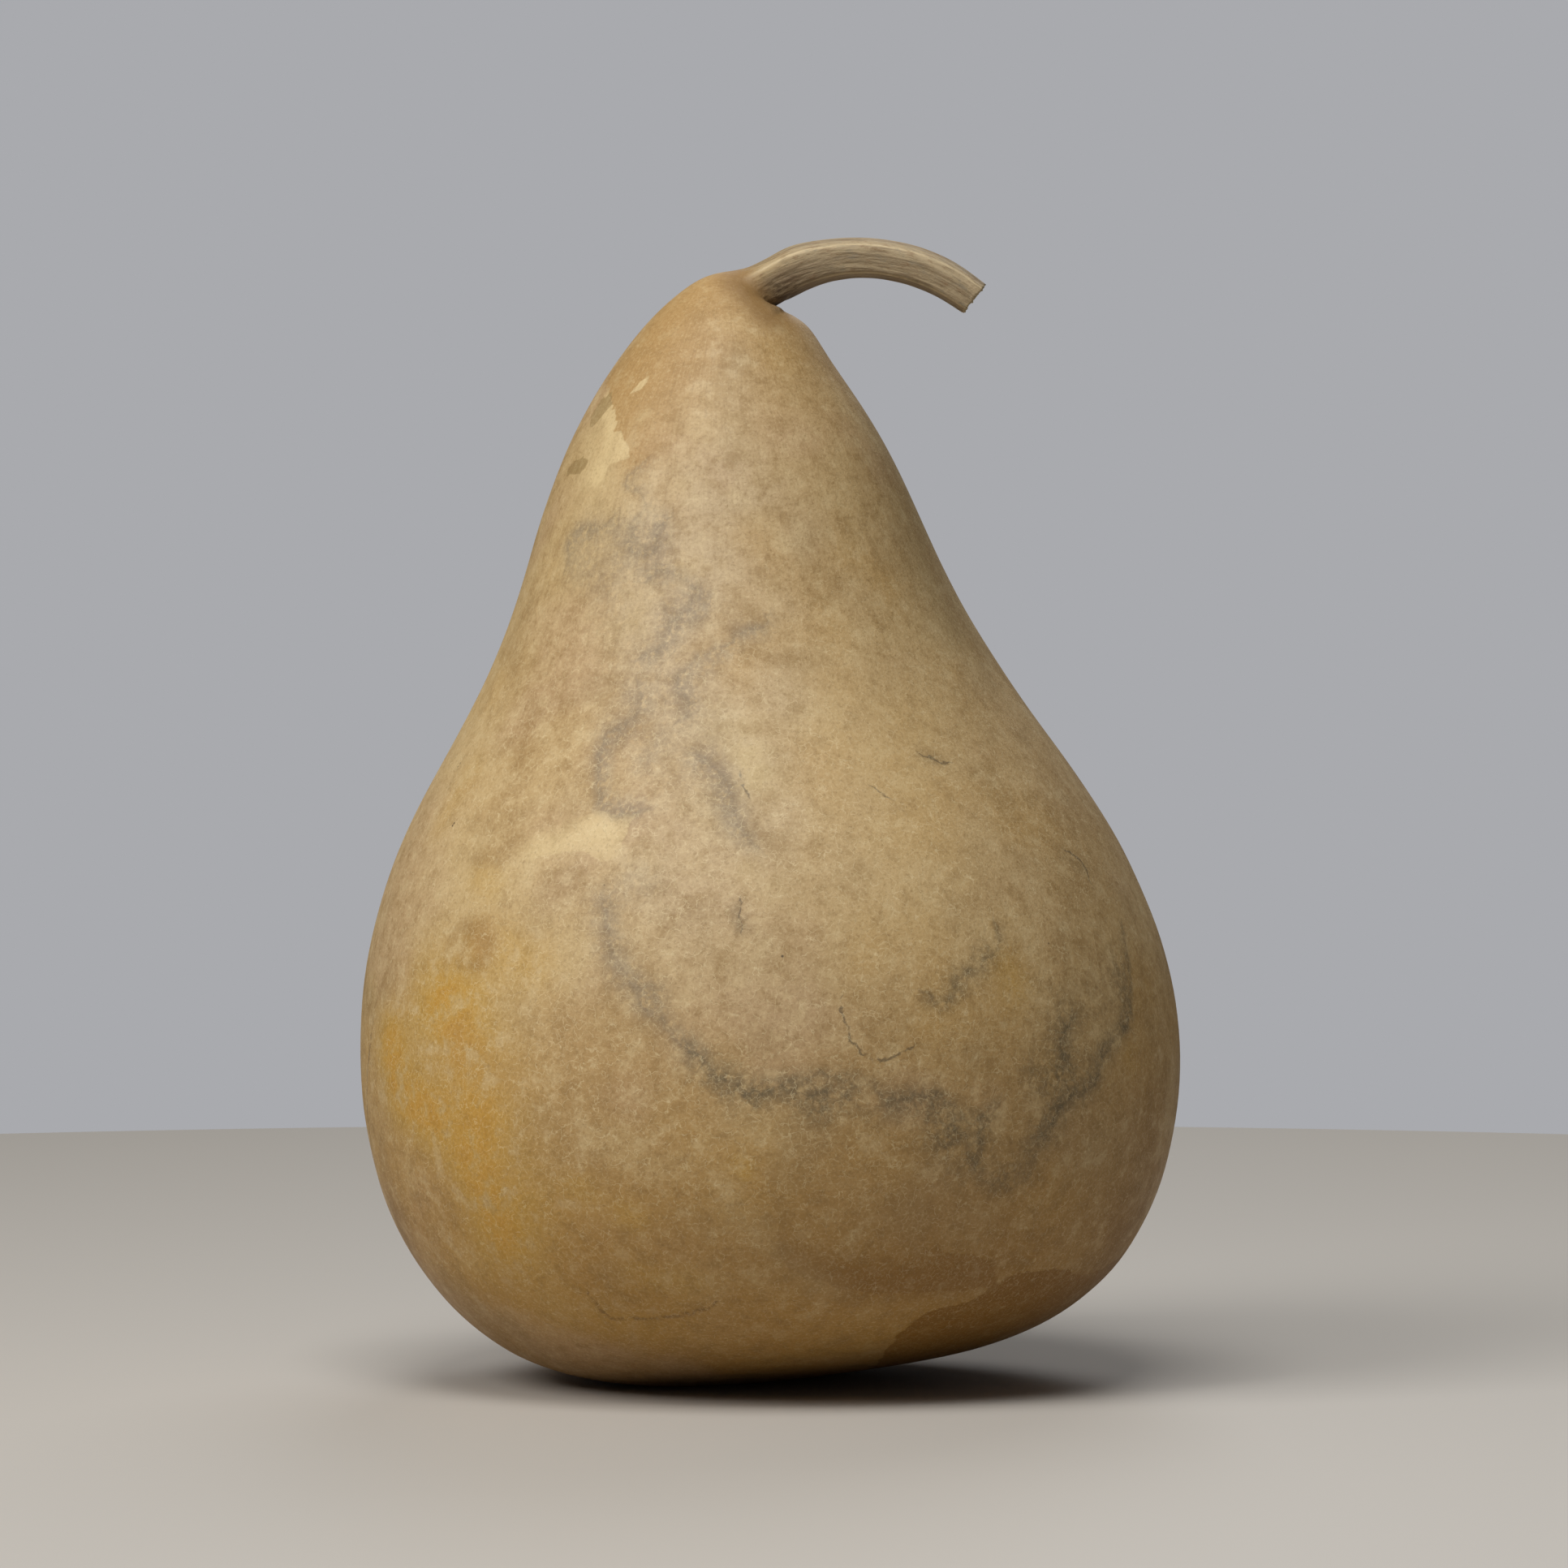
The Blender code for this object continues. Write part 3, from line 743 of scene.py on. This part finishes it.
# Layers of colour, from the bottom up: the colour, the most that it covers, and the patterns and marks that
# let it show, each with the value where it starts and the value where it is full.
RIND_STRAW = "#b89a69"
RIND_LAYERS = (
    ("#a97e36", 0.9, (("height", 118.0, 25.0),)),
    # darker brown near the table, partly painted shade round the base
    ("#8f6423", 0.8, (("height", 60.0, 5.0), ("drift", -1.1, 0.6))),
    ("#a58252", 0.55, (("height", 205.0, 262.0),)),
    ("#a48454", 0.6, (("drift", -0.1, 0.7),)),
    # chalky skin, partly painted sheen down the lit middle of the neck and belly
    ("#bba27c", 0.85, (("chalky_and_painted_sheen", 0.05, 0.9),)),
    ("#b48c48", 0.45, (("tint", 0.0, 0.7),)),
    ("#b59572", 0.4, (("tint", -0.1, -0.7),)),
    ("#93764a", 0.34, (("blotch", 0.1, 0.7),)),
    ("#c9ae7c", 0.28, (("blotch", -0.1, -0.7), ("height", -10.0, 70.0))),
    ("#94713a", 0.3, (("cloud", 0.5, 0.68),)),
    ("#d0b586", 0.27, (("cloud", 0.48, 0.32), ("height", -40.0, 90.0))),
    ("#8f6f3e", 0.34, (("crust", 0.52, 0.7),)),
    ("#cfb384", 0.24, (("crust", 0.48, 0.3), ("height", -40.0, 90.0))),
    # olive patches, and painted shade at the neck's right edge and the lower rims
    ("#8f7a4e", 0.5, (("olive_and_painted_shade", 0.0, 1.0),)),
    # painted light: lighter straw where more light falls
    ("#d0b481", 0.65, (("light", 0.0, 0.9),)),
    ("#bb923a", 0.9, (("golden", 0.0, 0.95), ("cloud", 0.1, 0.6))),
    ("#c68c2a", 0.5, (("golden", 0.55, 1.0), ("cloud", 0.36, 0.6))),
    ("#ad8852", 0.85, (("orange", 0.0, 0.95), ("cloud", -0.2, 0.5), ("pale_edge", 0.2, -0.2))),
    # brown stains, and the painted shade at the neck's right edge and the base's rim
    ("#87622c", 0.7, (("brown_stain_and_painted_shade", 0.0, 0.95), ("cloud", 0.1, 0.6))),
    ("#8a6022", 0.6, (("damp_edge", -0.2, 0.3), ("brown_stain_and_painted_shade", 0.0, 0.5))),
    ("#855a10", 0.92, (("soaked_edge", -0.2, 0.3), ("cloud", -0.2, 0.5))),
    ("#d0b785", 0.75, (("pale", 0.02, 0.9), ("cloud", 0.2, 0.6))),
    ("#d5bb88", 0.75, (("pale_edge", -0.2, 0.3), ("flaked", 0.05, 0.8))),
    ("#8a7040", 0.65, (("olive_edge", -0.2, 0.3),)),
    ("#7d5d2e", 0.16, (("cloud", 0.5, 0.66),)),
    ("#dac596", 0.14, (("cloud", 0.48, 0.32), ("height", -40.0, 90.0))),
    ("#8a775e", 0.62, (("haze", 0.0, 0.9), ("crust", 0.2, 0.6))),
    ("#877860", 0.32, (("tide_line", 0.3, -0.3), ("by_tide_line", 6.0, 0.0), ("crust", 0.3, 0.55))),
    ("#705f48", 0.24, (("tide_line_off", 1.6, 0.2), ("by_tide_line", 6.0, 3.0), ("cloud", 0.3, 0.5))),
    ("#6a604a", 0.54, (("mould", 0.0, 0.9), ("cloud", 0.25, 0.6), ("crust", 0.2, 0.6))),
    ("#544c39", 0.35, (("mould", 0.3, 1.0), ("strand", 0.12, 0.02))),
    ("#655b46", 0.28, (("mould_line", 0.5, -0.5), ("by_mould_line", 5.0, 0.5), ("crust", 0.2, 0.6))),
    ("#4c4535", 0.3, (("mould_line_off", 1.3, 0.1), ("by_mould_line", 6.0, 3.0), ("cloud", 0.35, 0.55))),
    ("#4d4230", 0.62, (("crack_off", 0.55, 0.1), ("by_crack", 3.2, 1.6), ("parting", 0.3, 0.45))),
    ("#5a3c1c", 0.5, (("fold_line_off", 1.2, 0.1), ("by_fold_line", 5.0, 3.0), ("crust", 0.36, 0.56))),
    ("#86693c", 0.15, (("streak", 0.5, 0.72), ("height", 130.0, 200.0))),
    ("#cdb483", 0.13, (("streak", 0.5, 0.3), ("height", 130.0, 200.0))),
    ("#7f6237", 0.4, (("felt", 0.5, 0.78),)),
    ("#d9c394", 0.3, (("felt", 0.5, 0.22),)),
    ("#e8d5a8", 0.33, (("fibres", 0.0, 1.0), ("height", 260.0, 130.0), ("height", -60.0, 80.0))),
    ("#3c2f1e", 0.85, (("speck", SPECK_RADIUS * 1.5, SPECK_RADIUS * 0.6),)),
    ("#7a5a30", 0.6, (("root", 0.1, 0.9),)),
    ("#5b4026", 0.8, (("scar", 0.0, 1.0),)),
)
STEM_CORK = "#ab9775"
STEM_LAYERS = (
    ("#a98f60", 0.7, (("stem_along", 16.0, 0.0),)),
    # darker lower side of the stem, partly painted shade
    ("#6f5b43", 0.5, (("stem_height", 0.0, -5.0),)),
    # paler crests, with a painted highlight along them
    ("#cbb68f", 0.85, (("ridge", 0.68, 0.96),)),
    ("#6d5a3f", 0.5, (("ridge", 0.3, 0.0),)),
    ("#6c573b", 0.6, (("stem_streak", 0.5, 0.7),)),
    ("#b7a27f", 0.5, (("stem_streak", 0.5, 0.3),)),
    ("#7b5a36", 0.5, (("stem_fleck", 0.52, 0.68),)),
    ("#77705f", 0.4, (("stem_fleck", 0.46, 0.32),)),
    # painted shade under the stem near its root
    ("#5f4a33", 0.4, (("stem_along", 22.0, 6.0), ("stem_height", 3.0, 0.5))),
    # painted shade in the folds under the stem's root
    ("#4d3a24", 0.7, (("stem_along", 15.0, 4.0), ("stem_height", 1.5, -2.5), ("stem_fleck", 0.42, 0.56))),
    ("#b8a47c", 0.9, (("cut", 0.0, 1.0),)),
)


def let_through(tree, amount, value, start, full):
    """The amount times how far the value has come from start to full."""
    limits = {"Value": value, "From Min": start, "From Max": full}
    share = add(tree, "ShaderNodeMapRange", limits, interpolation_type="SMOOTHSTEP").outputs["Result"]
    return add(tree, "ShaderNodeMath", {0: amount, 1: share}, operation="MULTIPLY").outputs["Value"]


def painted(tree, colour, layers, found):
    """The colour with the layers over it, each let through by what has been found at the place."""
    for hex_colour, most, limits in layers:
        amount = most
        for name, start, full in limits:
            amount = let_through(tree, amount, found[name], start, full)
        mixed = {"Factor": amount, 6: colour, 7: linear(hex_colour)}
        colour = add(tree, "ShaderNodeMix", mixed, data_type="RGBA").outputs[2]
    return colour


def find_marks(tree, marks, specks):
    """Reads what was recorded on the skin, makes the fine patterns, and returns both by name."""
    found = {}
    for name, values in marks.items():
        kind = "Fac" if values.ndim == 1 else "Vector"
        found[name] = add(tree, "ShaderNodeAttribute", attribute_name=name).outputs[kind]
    in_metres = add(tree, "ShaderNodeTexCoord").outputs["Object"]
    in_mm = add(tree, "ShaderNodeVectorMath", {0: in_metres, "Scale": 1 / MM}, operation="SCALE")
    found["place"] = in_mm.outputs["Vector"]
    found["height"] = add(tree, "ShaderNodeSeparateXYZ", {0: found["place"]}).outputs["Z"]
    found["stem_along"] = add(tree, "ShaderNodeSeparateXYZ", {0: found["stem_grain"]}).outputs["Z"]

    for name, (follows, size, detail, coarse, stretch) in PATTERNS.items():
        scales = (1 / size, 1 / size, 1 / size / stretch)
        scaled = add(tree, "ShaderNodeVectorMath", {0: found[follows], 1: scales}, operation="MULTIPLY")
        sockets = {"Vector": scaled.outputs["Vector"], "Scale": 1.0, "Detail": detail, "Roughness": coarse}
        found[name] = add(tree, "ShaderNodeTexNoise", sockets).outputs["Fac"]

    for name, strays in STRAYING.items():
        for pattern, reach in strays:
            centred = add(tree, "ShaderNodeMath", {0: found[pattern], 1: 0.5}, operation="SUBTRACT")
            sockets = {0: centred.outputs["Value"], 1: reach, 2: found[name]}
            found[name] = add(tree, "ShaderNodeMath", sockets, operation="MULTIPLY_ADD").outputs["Value"]
        if name in LINES:
            off = add(tree, "ShaderNodeMath", {0: found[name]}, operation="ABSOLUTE")
            found[name + "_off"] = off.outputs["Value"]

    bends = add(tree, "ShaderNodeTexNoise", {"Vector": found["place"], "Scale": 1 / BEND_SIZE, "Detail": 1.0})
    sockets = {0: bends.outputs["Color"], 1: (FIBRE_BEND, FIBRE_BEND, FIBRE_BEND), 2: found["place"]}
    bent = add(tree, "ShaderNodeVectorMath", sockets, operation="MULTIPLY_ADD").outputs["Vector"]
    fibres = 0.0
    for spacing, parted_by, start, full, strength in FIBRE_NETS:
        sockets = {"Vector": bent, "Scale": 1 / spacing}
        net = add(tree, "ShaderNodeTexVoronoi", sockets, feature="DISTANCE_TO_EDGE").outputs["Distance"]
        lengths = let_through(tree, strength, net, FIBRE_HALF / spacing, 0.0)
        lengths = let_through(tree, lengths, found[parted_by], start, full)
        fibres = add(tree, "ShaderNodeMath", {0: fibres, 1: lengths}, operation="MAXIMUM").outputs["Value"]
    found["fibres"] = fibres
    sockets = {"Vector": bent, "Scale": 1 / STRAND_SPACING}
    strands = add(tree, "ShaderNodeTexVoronoi", sockets, feature="DISTANCE_TO_EDGE")
    found["strand"] = strands.outputs["Distance"]

    nearest = MARK_REACH
    for speck in specks:
        away = add(tree, "ShaderNodeVectorMath", {0: found["place"], 1: speck}, operation="DISTANCE")
        sockets = {0: nearest, 1: away.outputs["Value"]}
        nearest = add(tree, "ShaderNodeMath", sockets, operation="MINIMUM").outputs["Value"]
    found["speck"] = nearest
    return found


# The rind's roughness goes from the first to the second as its clouds go from the first to the second value,
# and cork is rougher than that by this much. Both reflect as much as dry wood does.
CLOUD_VALUES = (0.3, 0.7)
RIND_ROUGHNESS = (0.52, 0.64)
CORK_ROUGHER = 0.12
RIND_IOR = 1.48
# Fine relief that the mesh can't hold: each pattern and its height in mm.
FINE_RELIEF = (("felt", 0.06), ("cloud", 0.2))
FINE_STEM_RELIEF = (("stem_streak", 0.16), ("stem_fleck", 0.22))


def gourd_finish(marks, specks):
    """Dried gourd rind: a woody shell, cured in air, its thin outer skin scraped by weather. It looks like
    dull, pale leather with felted fibres in it and has a soft satin sheen. Where the stem grows out of the
    shoulder it turns to cork, which is greyer and duller, with fibres that run along the stem."""
    material = bpy.data.materials.new("dried_rind_and_stem")
    material.use_nodes = True
    tree = material.node_tree
    shader = tree.nodes["Principled BSDF"]
    found = find_marks(tree, marks, specks)

    rind = painted(tree, linear(RIND_STRAW), RIND_LAYERS, found)
    stem = painted(tree, linear(STEM_CORK), STEM_LAYERS, found)
    sockets = {"Factor": found["stem"], 6: rind, 7: stem}
    colour = add(tree, "ShaderNodeMix", sockets, data_type="RGBA").outputs[2]
    tree.links.new(colour, shader.inputs["Base Color"])

    sockets = {"Value": found["cloud"], "From Min": CLOUD_VALUES[0], "From Max": CLOUD_VALUES[1]}
    sockets.update({"To Min": RIND_ROUGHNESS[0], "To Max": RIND_ROUGHNESS[1]})
    roughness = add(tree, "ShaderNodeMapRange", sockets).outputs["Result"]
    sockets = {0: found["stem"], 1: CORK_ROUGHER, 2: roughness}
    roughness = add(tree, "ShaderNodeMath", sockets, operation="MULTIPLY_ADD").outputs["Value"]
    tree.links.new(roughness, shader.inputs["Roughness"])
    shader.inputs["IOR"].default_value = RIND_IOR

    relief = 0.0
    for name, rise in FINE_RELIEF:
        sockets = {0: found[name], 1: rise, 2: relief}
        relief = add(tree, "ShaderNodeMath", sockets, operation="MULTIPLY_ADD").outputs["Value"]
    for name, rise in FINE_STEM_RELIEF:
        on_stem = add(tree, "ShaderNodeMath", {0: found[name], 1: found["stem"]}, operation="MULTIPLY")
        sockets = {0: on_stem.outputs["Value"], 1: rise, 2: relief}
        relief = add(tree, "ShaderNodeMath", sockets, operation="MULTIPLY_ADD").outputs["Value"]
    bump = add(tree, "ShaderNodeBump", {"Height": relief, "Distance": MM, "Strength": 1.0})
    tree.links.new(bump.outputs["Normal"], shader.inputs["Normal"])
    return material


def dressed_gourd():
    """The gourd as one skin over its solid, with its relief, its marks and its finish."""
    skin = fine_skin()
    points = points_of(skin)[0]
    skin_tree = bvhtree.BVHTree.FromPolygons(
        [Vector(p) for p in points * MM], [tuple(face.vertices) for face in skin.polygons]
    )
    marks = marks_on(skin, skin_tree)
    specks = [tuple(place) for turn, pixels in SPECKS for place in on_rind(skin_tree, turn, pixels)]
    carve(skin, marks)
    for name, values in marks.items():
        kind, field = ("FLOAT", "value") if values.ndim == 1 else ("FLOAT_VECTOR", "vector")
        skin.attributes.new(name, kind, "POINT").data.foreach_set(field, values.astype(np.float32).ravel())
    skin.materials.append(gourd_finish(marks, specks))
    gourd = bpy.data.objects.new("gourd", skin)
    bpy.context.scene.collection.objects.link(gourd)
    return gourd


gourd = dressed_gourd()
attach(gourd, "root")
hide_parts("dried_gourd")

# The round table top is matt and pale, and wide enough for the gourd to stand well inside its edge.
TABLE_RADIUS_M = 0.83
TABLE_SIDES = 256
TABLE_COLOUR = "#bdb7ae"
TABLE_ROUGHNESS = 0.6
table_shape = bmesh.new()
bmesh.ops.create_circle(table_shape, cap_ends=True, segments=TABLE_SIDES, radius=TABLE_RADIUS_M)
table_mesh = bpy.data.meshes.new("table_top")
table_shape.to_mesh(table_mesh)
table_shape.free()
table_paint = bpy.data.materials.new("matt_table_paint")
table_paint.use_nodes = True
table_shader = table_paint.node_tree.nodes["Principled BSDF"]
table_shader.inputs["Base Color"].default_value = linear(TABLE_COLOUR)
table_shader.inputs["Roughness"].default_value = TABLE_ROUGHNESS
table_mesh.materials.append(table_paint)
table = bpy.data.objects.new("table_top", table_mesh)
bpy.context.scene.collection.objects.link(table)

# The studio's far wall is pale grey, but so far away that little light comes back from it.
WALL_COLOUR = "#a9aaae"
WALL_GLOW = 0.16
world = bpy.data.worlds.new("studio")
bpy.context.scene.world = world
world.use_nodes = True
air = world.node_tree
seen = add(air, "ShaderNodeLightPath").outputs["Is Camera Ray"]
glow = add(air, "ShaderNodeMapRange", {"Value": seen, "To Min": WALL_GLOW, "To Max": 1.0}).outputs["Result"]
air.nodes["Background"].inputs["Color"].default_value = linear(WALL_COLOUR)
air.links.new(glow, air.nodes["Background"].inputs["Strength"])

# Each soft light: where it hangs in metres, its side in metres and its power in watts. All face the gourd.
LIT_PLACE_M = (0.0, 0.0, 0.13)
SOFT_LIGHTS = {
    "left": ((-1.207, -1.013, 1.36), 1.0, 23.0),
    "above": ((-0.147, -0.832, 1.94), 1.0, 24.0),
    "behind": ((0.35, 1.55, 1.36), 1.0, 8.0),
}
for name, (at, side, power) in SOFT_LIGHTS.items():
    lamp = bpy.data.lights.new(name, "AREA")
    lamp.shape = "SQUARE"
    lamp.size = side
    lamp.energy = power
    light = bpy.data.objects.new(name, lamp)
    light.location = at
    light.rotation_euler = (Vector(LIT_PLACE_M) - Vector(at)).to_track_quat("-Z", "Y").to_euler()
    bpy.context.scene.collection.objects.link(light)

# The camera sees this far.
SIGHT_M = 20.0
lens = bpy.data.cameras.new("camera")
lens.lens = LENS
lens.sensor_width = SENSOR
lens.clip_end = SIGHT_M
camera = bpy.data.objects.new("camera", lens)
camera.location = Vector(CAMERA_AT) * MM
camera.rotation_euler = (Vector(CAMERA_AIM) - Vector(CAMERA_AT)).to_track_quat("-Z", "Y").to_euler()
bpy.context.scene.collection.objects.link(camera)
bpy.context.scene.camera = camera
bpy.context.scene.view_settings.view_transform = "Standard"
